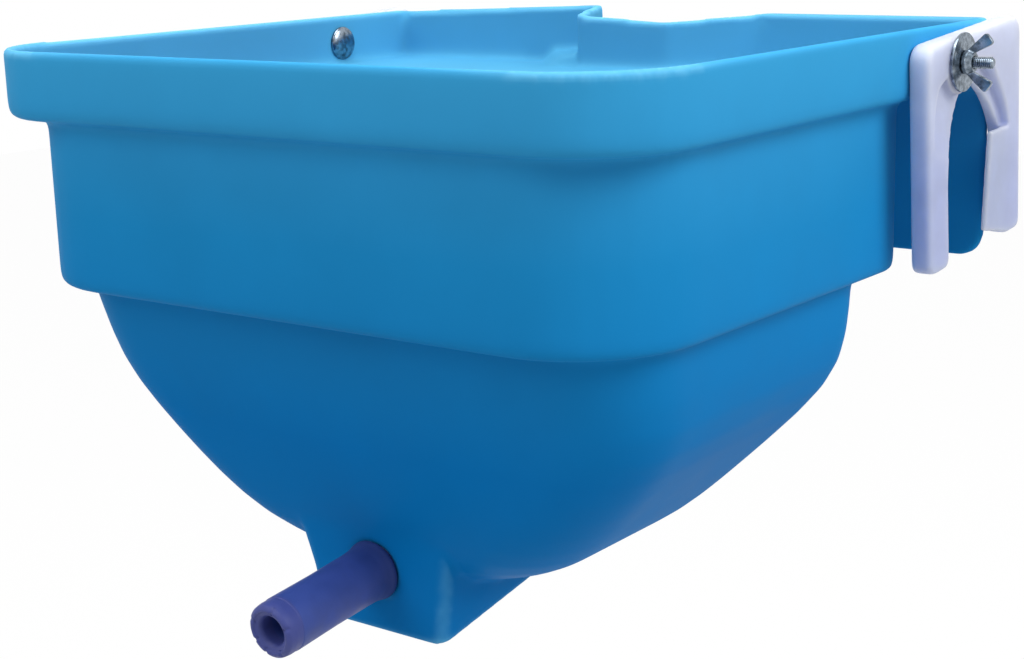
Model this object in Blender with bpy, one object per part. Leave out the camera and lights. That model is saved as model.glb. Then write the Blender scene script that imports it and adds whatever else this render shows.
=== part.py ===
"""Calf feeding bucket that hangs on a rail: tub, teat and two bolted hook brackets.

The origin is the seat on the rail, in the middle of the underside of the channel's roof.
X runs across the tub, Y points to the rear and Z points up. Lengths are in metres.
"""

import math

import bmesh
import bpy
from mathutils import Vector

MM = 0.001

# Clearance between pieces that touch, all round
GAP = 0.3 * MM

# How far a cutting body passes the face that it cuts through
CUT_MARGIN = 5.0 * MM

# Share of an edge's radius at which the middle point of its rounding lies
ROUNDING = 0.3

# Tub, rim band
WALL = 5.0 * MM
RIM_HALF_WIDTH = 207.5 * MM
RIM_TOP_Z = 36.0 * MM
RIM_FRONT_Y = -313.0 * MM
RIM_FRONT_RADIUS = 55.0 * MM
RIM_REAR_RADIUS = 9.0 * MM
RIM_OVERHANG = 12.1 * MM
LIP_RADIUS = 1.5 * MM
EDGE_RADIUS = 4.0 * MM

# Tub, rail channel and the skirt behind it
RAIL_WIDTH = 75.5 * MM
REAR_WALL = 7.7 * MM
SKIRT_BOTTOM_Z = -94.0 * MM
SKIRT_CORNER_RADIUS = 13.0 * MM

# Tub, middle wall
SHOULDER_Z = -89.3 * MM
MIDDLE_FRONT_RADIUS = 61.0 * MM
MIDDLE_REAR_RADIUS = 10.0 * MM

# Tub, hopper below the shoulder
HOPPER_HALF_WIDTH = 185.2 * MM
HOPPER_FRONT_INSET = 21.0 * MM
HOPPER_REAR_INSET = 15.0 * MM
HOPPER_DEPTH = 166.5 * MM
HOPPER_FRONT_RADIUS = 43.5 * MM
HOPPER_REAR_RADIUS = 20.0 * MM
HOPPER_FRONT_LEAN = 48.5 * MM
HOPPER_FRONT_CURL = 89.0 * MM
HOPPER_SIDE_LEAN = 161.5 * MM
HOPPER_REAR_LEAN = 154.0 * MM

# Shares of the hopper's depth where a wall starts or stops leaning, and how soft the bends are
SIDE_LEAN_START = 0.31
REAR_LEAN_START = 0.33
REAR_LEAN_END = 0.60
BEND_SOFTNESS = 0.124

# Powers that keep the front and the sides of the hopper straight until they curl in at the bottom
FRONT_CURL_POWER = 11
SIDE_CURL_POWER = 10
SIDE_CURL_ROUNDNESS = 0.75

# The hopper's rings stop just above its lowest point and lie closer together there
HOPPER_LAST_SHARE = 0.985
HOPPER_RING_CROWDING = 1.5

# Tub, fold in the middle of the rear wall
FOLD_FRONT_Y = 4.0 * MM
FOLD_FRONT_LEFT_X = -40.0 * MM
FOLD_FRONT_RIGHT_X = 24.0 * MM
FOLD_REAR_LEFT_X = -49.0 * MM
FOLD_REAR_RIGHT_X = 71.0 * MM
FOLD_CORNER_RADIUS = 12.0 * MM

# The rear wall's top edge isn't level: position across the tub, rise over the rim's top
REAR_EDGE = (
    (-RIM_HALF_WIDTH, 0.0),
    (-198.0 * MM, -3.0 * MM),
    (-48.0 * MM, 4.0 * MM),
    (71.0 * MM, 0.5 * MM),
    (RIM_HALF_WIDTH, 0.0),
)
FOLD_EDGE = (
    (-40.0 * MM, 0.7 * MM),
    (-27.0 * MM, -0.5 * MM),
    (18.0 * MM, -3.5 * MM),
    (30.0 * MM, -3.0 * MM),
)

# Nose and teat
TEAT_Z = -231.0 * MM
TEAT_FACE_Y = -239.9 * MM
TEAT_DROOP = math.radians(6.0)
NOSE_BOTTOM_Z = -267.0 * MM
NOSE_TOP_Z = -204.0 * MM
NOSE_REAR_Y = -140.0 * MM
NOSE_BOTTOM_HALF_WIDTH = 41.0 * MM
NOSE_TOP_HALF_WIDTH = 54.0 * MM
NOSE_FLOOR_RISE = math.tan(math.radians(10.0))
NOSE_CORNER_RADIUS = 6.0 * MM
TEAT_RADIUS = 14.5 * MM
TEAT_BORE_RADIUS = 8.0 * MM
TEAT_GROOVE_RADIUS = 12.0 * MM
TEAT_COLLAR_RADIUS = 16.0 * MM
TEAT_COLLAR_LENGTH = 4.5 * MM
TEAT_FLANGE_LENGTH = 3.5 * MM
TEAT_LENGTH = 78.5 * MM
TEAT_LIP_RADIUS = 4.0 * MM

# Bolt, washer and wing nut, thread size M6
BOLT_Y = -24.4 * MM
BOLT_Z = 18.0 * MM
BOLT_RADIUS = 3.0 * MM
BOLT_LENGTH = 35.0 * MM
HEAD_RADIUS = 10.5 * MM
HEAD_HEIGHT = 4.0 * MM
HEAD_RIM_HEIGHT = 0.6 * MM
THREAD_CHAMFER = 0.9 * MM
BOLT_HOLE_RADIUS = BOLT_RADIUS + GAP
WASHER_RADIUS = 15.0 * MM
WASHER_THICKNESS = 1.6 * MM
HUB_RADIUS = 6.0 * MM
HUB_TIP_RADIUS = 4.8 * MM
HUB_LENGTH = 5.0 * MM
HUB_STRAIGHT_LENGTH = 2.0 * MM
WING_THICKNESS = 2.2 * MM
WING_CORNER_RADIUS = 1.5 * MM

# Wing of the nut: distance from the axis, then height over the washer
WING_LOW_ROOT = (HUB_RADIUS, 1.0 * MM)
WING_HIGH_ROOT = (HUB_RADIUS, 4.6 * MM)
WING_INNER_TIP = (9.7 * MM, 15.1 * MM)
WING_OUTER_TIP = (15.3 * MM, 10.8 * MM)

# Hook bracket, measured from the bolt: rearward, then up
BRACKET_FRONT = -34.6 * MM
BRACKET_REAR = 78.5 * MM
BRACKET_TOP = 13.2 * MM
BRACKET_BOTTOM = -104.0 * MM
BRACKET_THICKNESS = 12.2 * MM
ARCH_CENTRE = 22.0 * MM
ARCH_TOP = -12.5 * MM
SLOT_FOOT_FRONT = -14.0 * MM
SLOT_FOOT_REAR = 56.0 * MM
ARCH_POINTS = (
    (-14.8 * MM, -62.0 * MM),
    (-13.0 * MM, -46.0 * MM),
    (-5.0 * MM, -31.0 * MM),
    (6.0 * MM, -20.5 * MM),
    (ARCH_CENTRE, ARCH_TOP),
    (38.0 * MM, -20.5 * MM),
    (50.0 * MM, -31.0 * MM),
    (59.0 * MM, -45.0 * MM),
    (63.5 * MM, -62.0 * MM),
)
BRACKET_TOP_RADIUS = 9.0 * MM
BRACKET_FOOT_RADIUS = 5.0 * MM
BRACKET_EDGE_RADIUS = 2.0 * MM
BRACKET_TILT = math.radians(4.5)

# Pocket in the bracket's outer face, deepest at the top rear, and the seat left in it
POCKET_POINTS = (
    (-31.0 * MM, -40.0 * MM),
    (-27.0 * MM, -17.0 * MM),
    (-19.0 * MM, -7.0 * MM),
    (10.0 * MM, -2.0 * MM),
    (37.0 * MM, -5.0 * MM),
    (48.0 * MM, -16.0 * MM),
    (59.0 * MM, -31.0 * MM),
    (65.0 * MM, -47.0 * MM),
)
POCKET_SLOT_POINTS = ((40.0 * MM, -50.0 * MM), (-5.0 * MM, -52.0 * MM))
POCKET_DEPTH = 6.2 * MM
POCKET_SLOPE_REARWARD = 0.053
POCKET_SLOPE_UP = 0.111
SEAT_RADIUS = 16.5 * MM

# A corner's radius takes up at most this share of half the side
LARGEST_CORNER_SHARE = 0.95

# Steps in curves
CORNER_STEPS = 8
SMALL_CORNER_STEPS = 4
HOPPER_STEPS = 16
TURNED_STEPS = 32
ARCH_STEPS = 3


def clear_scene():
    for item in list(bpy.data.objects):
        bpy.data.objects.remove(item)


def make_material(name, colour, roughness, metallic=0.0):
    material = bpy.data.materials.new(name)
    material.use_nodes = True
    shader = material.node_tree.nodes["Principled BSDF"]
    shader.inputs["Base Color"].default_value = (*colour, 1.0)
    shader.inputs["Roughness"].default_value = roughness
    shader.inputs["Metallic"].default_value = metallic
    material.diffuse_color = (*colour, 1.0)
    return material


def blue_polyethylene(name):
    return make_material(name, (0.018, 0.235, 0.527), 0.38)


def indigo_rubber(name):
    return make_material(name, (0.030, 0.058, 0.245), 0.55)


def white_polyethylene(name):
    return make_material(name, (0.640, 0.660, 0.760), 0.42)


def zinc_plated_steel(name):
    return make_material(name, (0.600, 0.620, 0.640), 0.28, 1.0)


def arc(centre, radius, start, end, steps):
    """Points of a circle's arc in a plane, with both ends."""
    points = []
    for step in range(steps + 1):
        angle = math.radians(start + (end - start) * step / steps)
        points.append((centre[0] + radius * math.cos(angle), centre[1] + radius * math.sin(angle)))
    return points


def fillet_outline(corners, steps=SMALL_CORNER_STEPS):
    """A closed outline whose corners, given as x, y and radius, are rounded by arcs."""
    points = []
    count = len(corners)
    for index, (x, y, radius) in enumerate(corners):
        corner = Vector((x, y))
        if radius == 0.0:
            points.append((x, y))
            continue
        before = (Vector(corners[index - 1][:2]) - corner).normalized()
        after = (Vector(corners[(index + 1) % count][:2]) - corner).normalized()
        half_angle = before.angle(after) / 2.0
        centre = corner + (before + after).normalized() * radius / math.sin(half_angle)
        reach = radius / math.tan(half_angle)
        first = corner + before * reach - centre
        turn = first.angle_signed(corner + after * reach - centre)
        for step in range(steps + 1):
            angle = -turn * step / steps
            across = math.cos(angle) * first.x - math.sin(angle) * first.y
            along = math.sin(angle) * first.x + math.cos(angle) * first.y
            points.append((centre.x + across, centre.y + along))
    return points


def smooth_path(points, steps):
    """A curve through the points, with steps pieces between two of them."""
    path = []
    last = len(points) - 1
    for index in range(last):
        p0 = Vector(points[max(index - 1, 0)])
        p1 = Vector(points[index])
        p2 = Vector(points[index + 1])
        p3 = Vector(points[min(index + 2, last)])
        for step in range(steps):
            t = step / steps
            bend = 2.0 * p0 - 5.0 * p1 + 4.0 * p2 - p3
            twist = -p0 + 3.0 * p1 - 3.0 * p2 + p3
            path.append(tuple(0.5 * (2.0 * p1 + (p2 - p0) * t + bend * t ** 2 + twist * t ** 3)))
    path.append(tuple(points[last]))
    return path


def offset_outline(points, distance):
    """The outline moved inwards by distance; it must run anticlockwise."""
    moved = []
    count = len(points)
    for index, point in enumerate(points):
        here = Vector(point)
        before = (here - Vector(points[index - 1])).normalized()
        after = (Vector(points[(index + 1) % count]) - here).normalized()
        inward = Vector((-before.y - after.y, before.x + after.x)).normalized()
        reach = distance / max(0.5, inward.dot(Vector((-after.y, after.x))))
        moved.append(tuple(here + inward * reach))
    return moved


def mesh_object(name, mesh_data, material=None):
    """Makes an object of a bmesh and turns all faces outwards."""
    bmesh.ops.recalc_face_normals(mesh_data, faces=mesh_data.faces)
    mesh = bpy.data.meshes.new(name)
    mesh_data.to_mesh(mesh)
    mesh_data.free()
    item = bpy.data.objects.new(name, mesh)
    bpy.context.collection.objects.link(item)
    if material is not None:
        mesh.materials.append(material)
    return item


def loft(name, rings, material=None):
    """A closed body through rings that all have the same number of points."""
    mesh_data = bmesh.new()
    rows = [[mesh_data.verts.new(point) for point in ring] for ring in rings]
    count = len(rows[0])
    for upper, lower in zip(rows, rows[1:]):
        for index in range(count):
            after = (index + 1) % count
            mesh_data.faces.new((upper[index], lower[index], lower[after], upper[after]))
    mesh_data.faces.new(rows[0])
    mesh_data.faces.new(rows[-1])
    return mesh_object(name, mesh_data, material)


def between(table, x):
    """The value at x on straight lines between the table's points."""
    if x <= table[0][0]:
        return table[0][1]
    for (x0, y0), (x1, y1) in zip(table, table[1:]):
        if x <= x1:
            return y0 + (y1 - y0) * (x - x0) / (x1 - x0)
    return table[-1][1]


def prism(name, outline, low, high, material=None):
    """A flat outline in x and y raised from low to high."""
    rings = [[(x, y, level) for x, y in outline] for level in (low, high)]
    return loft(name, rings, material)


def turned(name, profile, material=None, steps=TURNED_STEPS):
    """A closed profile, given as radius and height, turned about the Z axis."""
    mesh_data = bmesh.new()
    rows = []
    for radius, height in profile:
        if radius == 0.0:
            rows.append([mesh_data.verts.new((0.0, 0.0, height))] * steps)
            continue
        row = []
        for step in range(steps):
            angle = 2.0 * math.pi * step / steps
            row.append(mesh_data.verts.new((radius * math.cos(angle), radius * math.sin(angle), height)))
        rows.append(row)
    for index, row in enumerate(rows):
        following = rows[(index + 1) % len(rows)]
        for step in range(steps):
            after = (step + 1) % steps
            corners = (row[step], row[after], following[after], following[step])
            distinct = list(dict.fromkeys(corners))
            if len(distinct) > 2:
                mesh_data.faces.new(distinct)
    return mesh_object(name, mesh_data, material)


def combine(target, other, operation):
    """Joins other to target, or cuts it away, and removes it."""
    modifier = target.modifiers.new("combine", "BOOLEAN")
    modifier.operation = operation
    modifier.solver = "EXACT"
    modifier.object = other
    with bpy.context.temp_override(object=target, active_object=target):
        bpy.ops.object.modifier_apply(modifier=modifier.name)
    bpy.data.objects.remove(other)


def shade_round(item, angle=35.0):
    """Smooth shading, with edges sharper than the angle left crisp."""
    item.data.shade_smooth()
    item.data.set_sharp_from_angle(angle=math.radians(angle))


def plan_ring(half_width, front, rear, front_radius, rear_radius, z):
    """A level outline of the tub: a rectangle with rounded corners."""
    largest = LARGEST_CORNER_SHARE * min(half_width, (rear - front) / 2.0)
    front_radius = min(front_radius, largest)
    rear_radius = min(rear_radius, largest)
    outline = arc((front_radius - half_width, front + front_radius), front_radius, 180, 270, CORNER_STEPS)
    outline += arc((half_width - front_radius, front + front_radius), front_radius, 270, 360, CORNER_STEPS)
    outline += arc((half_width - rear_radius, rear - rear_radius), rear_radius, 0, 90, CORNER_STEPS)
    outline += arc((rear_radius - half_width, rear - rear_radius), rear_radius, 90, 180, CORNER_STEPS)
    return [(x, y, z) for x, y in outline]


def rim_ring(z, inset, rear_inset):
    return plan_ring(
        RIM_HALF_WIDTH - inset,
        RIM_FRONT_Y + inset,
        RAIL_WIDTH / 2.0 + REAR_WALL - rear_inset,
        RIM_FRONT_RADIUS - inset,
        RIM_REAR_RADIUS - min(inset, WALL),
        z,
    )


def middle_ring(z, inset):
    return plan_ring(
        RIM_HALF_WIDTH - RIM_OVERHANG - inset,
        RIM_FRONT_Y + RIM_OVERHANG + inset,
        -RAIL_WIDTH / 2.0 - inset,
        MIDDLE_FRONT_RADIUS - inset,
        MIDDLE_REAR_RADIUS - inset,
        z,
    )


def ramp(share, start):
    """Zero before start and rising one to one after it, with a soft bend between."""
    past = share - start
    return 0.5 * (past + math.hypot(past, BEND_SOFTNESS))


def hopper_ring(share, inset):
    """Outline of the hopper; share is 0 at the shoulder and 1 at the lowest point."""
    half_width = HOPPER_HALF_WIDTH - inset - HOPPER_SIDE_LEAN * ramp(share, SIDE_LEAN_START)
    rear_lean = HOPPER_REAR_LEAN * (ramp(share, REAR_LEAN_START) - ramp(share, REAR_LEAN_END))
    front_y = RIM_FRONT_Y + RIM_OVERHANG + HOPPER_FRONT_INSET + inset
    rear_y = -RAIL_WIDTH / 2.0 - HOPPER_REAR_INSET - inset
    return plan_ring(
        half_width * (1.0 - share ** SIDE_CURL_POWER) ** SIDE_CURL_ROUNDNESS,
        front_y + HOPPER_FRONT_LEAN * share + HOPPER_FRONT_CURL * share ** FRONT_CURL_POWER,
        rear_y - rear_lean,
        HOPPER_FRONT_RADIUS - inset,
        HOPPER_REAR_RADIUS - inset,
        SHOULDER_Z - share * (HOPPER_DEPTH - inset),
    )


def hopper_rings(inset):
    """Rings from the shoulder down, closer together near the bottom."""
    rings = []
    for step in range(HOPPER_STEPS + 1):
        share = HOPPER_LAST_SHARE * (1.0 - (1.0 - step / HOPPER_STEPS) ** HOPPER_RING_CROWDING)
        rings.append(hopper_ring(share, inset))
    return rings


def edge_rings(make_ring, z, radius):
    """Three rings that round an edge whose lowest level is z."""
    rings = []
    for angle in (0.0, 45.0, 90.0):
        turn = math.radians(angle)
        rings.append(make_ring(z + radius * (1.0 - math.sin(turn)), radius * (1.0 - math.cos(turn))))
    return rings


def tub_outside():
    rings = [
        rim_ring(RIM_TOP_Z, LIP_RADIUS, LIP_RADIUS),
        rim_ring(RIM_TOP_Z - LIP_RADIUS * ROUNDING, LIP_RADIUS * ROUNDING, LIP_RADIUS * ROUNDING),
        rim_ring(RIM_TOP_Z - LIP_RADIUS, 0.0, 0.0),
    ]
    rings += edge_rings(lambda z, inset: rim_ring(z, inset, 0.0), 0.0, EDGE_RADIUS)
    rings.append(middle_ring(0.0, 0.0))
    rings += edge_rings(middle_ring, SHOULDER_Z, EDGE_RADIUS)
    rings += hopper_rings(0.0)
    return loft("tub_shell", rings, blue_polyethylene("tub_shell_polyethylene"))


def tub_cavity():
    nearly = LIP_RADIUS * ROUNDING
    rings = [
        rim_ring(RIM_TOP_Z + CUT_MARGIN, WALL - LIP_RADIUS, REAR_WALL - LIP_RADIUS),
        rim_ring(RIM_TOP_Z, WALL - LIP_RADIUS, REAR_WALL - LIP_RADIUS),
        rim_ring(RIM_TOP_Z - nearly, WALL - nearly, REAR_WALL - nearly),
        rim_ring(RIM_TOP_Z - LIP_RADIUS, WALL, REAR_WALL),
        rim_ring(WALL, WALL, REAR_WALL),
        middle_ring(WALL, WALL),
        middle_ring(SHOULDER_Z + WALL, WALL),
    ]
    top = hopper_ring(0.0, WALL)
    rings.append([(x, y, SHOULDER_Z + WALL) for x, y, z in top])
    rings += hopper_rings(WALL)
    return loft("tub_cavity", rings)


def skirt():
    """The rear wall carried on downwards behind the rail."""
    radius = SKIRT_CORNER_RADIUS
    corners = [
        (-RIM_HALF_WIDTH, SKIRT_BOTTOM_Z, radius),
        (RIM_HALF_WIDTH, SKIRT_BOTTOM_Z, radius),
        (RIM_HALF_WIDTH, WALL / 2.0, 0.0),
        (-RIM_HALF_WIDTH, WALL / 2.0, 0.0),
    ]
    outline = fillet_outline(corners, CORNER_STEPS)
    front = RAIL_WIDTH / 2.0
    rings = [[(x, y, z) for x, z in outline] for y in (front, front + REAR_WALL)]
    return loft("skirt", rings)


def nose_ring(z, inset, edge):
    """Outline of the nose at a height on its front face; the floor rises to the rear."""
    share = (z - NOSE_BOTTOM_Z) / (NOSE_TOP_Z - NOSE_BOTTOM_Z)
    half_width = NOSE_BOTTOM_HALF_WIDTH + (NOSE_TOP_HALF_WIDTH - NOSE_BOTTOM_HALF_WIDTH) * share
    face = TEAT_FACE_Y - (z - TEAT_Z) * math.tan(TEAT_DROOP)
    front = face + inset / math.cos(TEAT_DROOP) + edge
    radius = NOSE_CORNER_RADIUS - inset
    ring = plan_ring(half_width - inset - edge, front, NOSE_REAR_Y, radius, WALL, z)
    rise = NOSE_FLOOR_RISE * (1.0 - share)
    return [(x, y, height + (y - face) * rise) for x, y, height in ring]


def nose(name, inset):
    """The block round the teat, or the room inside it when inset is the wall's thickness."""
    floor = NOSE_BOTTOM_Z + inset
    edge = EDGE_RADIUS / 2.0
    rings = [
        nose_ring(floor, inset, edge),
        nose_ring(floor + edge * ROUNDING, inset, edge * ROUNDING),
        nose_ring(floor + edge, inset, 0.0),
        nose_ring(NOSE_TOP_Z, inset, 0.0),
    ]
    return loft(name, rings)


def fold(name, inset, floor):
    """The fold in the rear wall seen from above, or the recess behind it."""
    depth = RAIL_WIDTH / 2.0 - FOLD_FRONT_Y
    rear = RAIL_WIDTH / 2.0 + REAR_WALL + CUT_MARGIN
    left_lean = (FOLD_FRONT_LEFT_X - FOLD_REAR_LEFT_X) / depth
    right_lean = (FOLD_REAR_RIGHT_X - FOLD_FRONT_RIGHT_X) / depth
    front = FOLD_FRONT_Y + inset
    left = FOLD_FRONT_LEFT_X + inset * math.hypot(1.0, left_lean)
    right = FOLD_FRONT_RIGHT_X - inset * math.hypot(1.0, right_lean)
    radius = FOLD_CORNER_RADIUS - inset
    corners = [
        (left - left_lean * (front - FOLD_FRONT_Y), front, radius),
        (right + right_lean * (front - FOLD_FRONT_Y), front, radius),
        (right + right_lean * (rear - FOLD_FRONT_Y), rear, 0.0),
        (left - left_lean * (rear - FOLD_FRONT_Y), rear, 0.0),
    ]
    return prism(name, fillet_outline(corners), floor, RIM_TOP_Z + 2.0 * CUT_MARGIN)


def bolt_drill():
    """A bar along X for the holes in both side walls."""
    outline = arc((BOLT_Y, BOLT_Z), BOLT_HOLE_RADIUS, 0, 360, TURNED_STEPS)[:-1]
    reach = RIM_HALF_WIDTH + CUT_MARGIN
    rings = [[(x, y, z) for y, z in outline] for x in (-reach, reach)]
    return loft("bolt_drill", rings)


def teat_drill():
    """A bar along the teat's axis for the hole in the nose's front wall."""
    radius = TEAT_GROOVE_RADIUS + GAP
    inner = -WALL - CUT_MARGIN
    drill = turned("teat_drill", [(0.0, inner), (radius, inner), (radius, CUT_MARGIN), (0.0, CUT_MARGIN)])
    place_on_teat_axis(drill)
    return drill


def place_on_teat_axis(item):
    item.location = (0.0, TEAT_FACE_Y, TEAT_Z)
    item.rotation_euler = (math.radians(90.0) + TEAT_DROOP, 0.0, 0.0)


def lift_rear_edge(tub):
    """Moves the top edge of the rear wall and of the fold up or down."""
    fold_end = FOLD_FRONT_Y + 2.0 * FOLD_CORNER_RADIUS
    lowest = RIM_TOP_Z - LIP_RADIUS - GAP
    for vertex in tub.data.vertices:
        x, y, z = vertex.co
        if z < lowest or y < FOLD_FRONT_Y - LIP_RADIUS:
            continue
        vertex.co.z += between(FOLD_EDGE if y < fold_end else REAR_EDGE, x)


def make_tub():
    tub = tub_outside()
    combine(tub, skirt(), "UNION")
    combine(tub, nose("nose", 0.0), "UNION")
    cavity = tub_cavity()
    combine(cavity, nose("nose_room", WALL), "UNION")
    combine(cavity, fold("fold", 0.0, WALL / 2.0), "DIFFERENCE")
    combine(tub, cavity, "DIFFERENCE")
    combine(tub, fold("recess", WALL, WALL), "DIFFERENCE")
    combine(tub, bolt_drill(), "DIFFERENCE")
    combine(tub, teat_drill(), "DIFFERENCE")
    lift_rear_edge(tub)
    shade_round(tub)
    return tub


def make_teat():
    """A tube with an open tip; a groove between collar and flange holds the wall."""
    flange_face = -WALL - GAP
    flange_end = flange_face - TEAT_FLANGE_LENGTH
    collar_end = GAP + TEAT_COLLAR_LENGTH
    collar_slope = TEAT_COLLAR_RADIUS - TEAT_RADIUS
    lip = TEAT_LIP_RADIUS
    mouth = TEAT_BORE_RADIUS + lip / 2.0
    profile = [
        (TEAT_BORE_RADIUS, flange_end),
        (TEAT_COLLAR_RADIUS - collar_slope, flange_end),
        (TEAT_COLLAR_RADIUS, flange_end + collar_slope),
        (TEAT_COLLAR_RADIUS, flange_face),
        (TEAT_GROOVE_RADIUS, flange_face),
        (TEAT_GROOVE_RADIUS, GAP),
        (TEAT_COLLAR_RADIUS, GAP),
        (TEAT_COLLAR_RADIUS, collar_end),
        (TEAT_RADIUS, collar_end + collar_slope),
    ]
    profile += arc((TEAT_RADIUS - lip, TEAT_LENGTH - lip), lip, 0, 90, SMALL_CORNER_STEPS)
    profile += [(mouth, TEAT_LENGTH), (TEAT_BORE_RADIUS, TEAT_LENGTH - lip / 2.0)]
    teat = turned("teat", profile, indigo_rubber("teat_rubber"))
    place_on_teat_axis(teat)
    shade_round(teat)
    return teat


def bracket_outline():
    """Outline of the bracket, anticlockwise, rearward and up from the bolt."""
    arch = smooth_path(ARCH_POINTS, ARCH_STEPS)
    corners = [
        (*arch[-1], 0.0),
        (SLOT_FOOT_REAR, BRACKET_BOTTOM, BRACKET_FOOT_RADIUS),
        (BRACKET_REAR, BRACKET_BOTTOM, BRACKET_FOOT_RADIUS),
        (BRACKET_REAR, BRACKET_TOP, BRACKET_TOP_RADIUS),
        (BRACKET_FRONT, BRACKET_TOP, BRACKET_TOP_RADIUS),
        (BRACKET_FRONT, BRACKET_BOTTOM, BRACKET_FOOT_RADIUS),
        (SLOT_FOOT_FRONT, BRACKET_BOTTOM, BRACKET_FOOT_RADIUS),
        (*arch[0], 0.0),
    ]
    return fillet_outline(corners) + arch[1:-1]


def pocket():
    """The bell-shaped hollow round the arch, without the seat under the washer."""
    outline = smooth_path(POCKET_POINTS, ARCH_STEPS) + list(POCKET_SLOT_POINTS)
    floor = []
    for x, y in outline:
        depth = POCKET_DEPTH + POCKET_SLOPE_REARWARD * (x - ARCH_CENTRE) + POCKET_SLOPE_UP * (y - ARCH_TOP)
        floor.append((x, y, BRACKET_THICKNESS - depth))
    above = BRACKET_THICKNESS + CUT_MARGIN
    hollow = loft("pocket", [floor, [(x, y, above) for x, y in outline]])
    circle = arc((0.0, 0.0), SEAT_RADIUS, 0, 360, TURNED_STEPS)[:-1]
    seat = prism("seat", circle, 0.0, above + CUT_MARGIN)
    combine(hollow, seat, "DIFFERENCE")
    return hollow


def make_bracket(name, side, clamp):
    """The hook bracket; its own axes are turned so that Z leaves the tub's side."""
    outline = bracket_outline()
    radius = BRACKET_EDGE_RADIUS
    rings = []
    for z, inset in (
        (0.0, radius),
        (radius * ROUNDING, radius * ROUNDING),
        (radius, 0.0),
        (BRACKET_THICKNESS - radius, 0.0),
        (BRACKET_THICKNESS - radius * ROUNDING, radius * ROUNDING),
        (BRACKET_THICKNESS, radius),
    ):
        rings.append([(x, y, z) for x, y in offset_outline(outline, inset)])
    bracket = loft(name, rings, white_polyethylene(name + "_polyethylene"))
    combine(bracket, pocket(), "DIFFERENCE")
    hole = arc((0.0, 0.0), BOLT_HOLE_RADIUS, 0, 360, TURNED_STEPS)[:-1]
    combine(bracket, prism("hole", hole, -CUT_MARGIN, BRACKET_THICKNESS + CUT_MARGIN), "DIFFERENCE")
    for vertex in bracket.data.vertices:
        rearward, up, outward = vertex.co
        vertex.co = (-side * up, rearward, outward)
    if side < 0:
        bracket.data.flip_normals()
    bracket.parent = clamp
    bracket.location = (0.0, 0.0, GAP)
    bracket.rotation_euler = (0.0, 0.0, side * BRACKET_TILT)
    shade_round(bracket)
    return bracket


def make_bolt(name, clamp):
    """A mushroom head inside the tub and a plain shank of the thread's outer size."""
    dome = HEAD_HEIGHT - HEAD_RIM_HEIGHT
    profile = [(0.0, -HEAD_HEIGHT)]
    for step in range(1, SMALL_CORNER_STEPS + 2):
        turn = math.radians(90.0) * step / (SMALL_CORNER_STEPS + 1)
        profile.append((HEAD_RADIUS * math.sin(turn), -HEAD_RIM_HEIGHT - dome * math.cos(turn)))
    profile += [
        (HEAD_RADIUS, 0.0),
        (BOLT_RADIUS, 0.0),
        (BOLT_RADIUS, BOLT_LENGTH - THREAD_CHAMFER),
        (BOLT_RADIUS - THREAD_CHAMFER, BOLT_LENGTH),
        (0.0, BOLT_LENGTH),
    ]
    bolt = turned(name, profile, zinc_plated_steel(name + "_steel"))
    bolt.parent = clamp
    bolt.location = (0.0, 0.0, -WALL - GAP)
    shade_round(bolt)
    return bolt


def make_washer(name, clamp):
    profile = [
        (BOLT_HOLE_RADIUS, 0.0),
        (WASHER_RADIUS, 0.0),
        (WASHER_RADIUS, WASHER_THICKNESS),
        (BOLT_HOLE_RADIUS, WASHER_THICKNESS),
    ]
    washer = turned(name, profile, zinc_plated_steel(name + "_steel"))
    washer.parent = clamp
    washer.location = (0.0, 0.0, BRACKET_THICKNESS + 2.0 * GAP)
    shade_round(washer)
    return washer


def wing(side):
    """One wing, leaning away from the washer; it starts inside the hub's wall."""
    inside = (HUB_RADIUS + BOLT_HOLE_RADIUS) / 2.0
    corners = [
        (side * inside, WING_LOW_ROOT[1], 0.0),
        (side * inside, WING_HIGH_ROOT[1], 0.0),
        (side * WING_INNER_TIP[0], WING_INNER_TIP[1], WING_CORNER_RADIUS),
        (side * WING_OUTER_TIP[0], WING_OUTER_TIP[1], WING_CORNER_RADIUS),
        (side * WING_LOW_ROOT[0], WING_LOW_ROOT[1], 0.0),
    ]
    outline = fillet_outline(corners)
    half = WING_THICKNESS / 2.0
    return loft("wing", [[(x, y, z) for x, z in outline] for y in (-half, half)])


def make_wing_nut(name, clamp):
    profile = [
        (BOLT_HOLE_RADIUS, 0.0),
        (HUB_RADIUS, 0.0),
        (HUB_RADIUS, HUB_STRAIGHT_LENGTH),
        (HUB_TIP_RADIUS, HUB_LENGTH),
        (BOLT_HOLE_RADIUS, HUB_LENGTH),
    ]
    nut = turned(name, profile, zinc_plated_steel(name + "_steel"))
    for side in (1, -1):
        combine(nut, wing(side), "UNION")
    nut.parent = clamp
    nut.location = (0.0, 0.0, BRACKET_THICKNESS + WASHER_THICKNESS + 3.0 * GAP)
    shade_round(nut)
    return nut


def make_clamp(name, side):
    """An empty on the bolt's axis at the tub's side; its Z axis points away from the tub."""
    clamp = bpy.data.objects.new(name, None)
    bpy.context.collection.objects.link(clamp)
    clamp.location = (side * RIM_HALF_WIDTH, BOLT_Y, BOLT_Z)
    clamp.rotation_euler = (0.0, side * math.radians(90.0), 0.0)
    return clamp


def make_side(label, side):
    clamp = make_clamp("clamp_" + label, side)
    make_bracket("hook_bracket_" + label, side, clamp)
    make_bolt("bolt_" + label, clamp)
    make_washer("washer_" + label, clamp)
    make_wing_nut("wing_nut_" + label, clamp)


def main():
    clear_scene()
    make_tub()
    make_teat()
    make_side("right", 1)
    make_side("left", -1)


main()
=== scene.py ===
"""Calf feeding bucket: smooth moulded shapes, real threads, finishes, soft light and the camera.

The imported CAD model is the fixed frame. X runs across the tub, Y to the rear and Z up, in metres.
"""

import math

import bpy
from mathutils import Matrix, Vector


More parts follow.
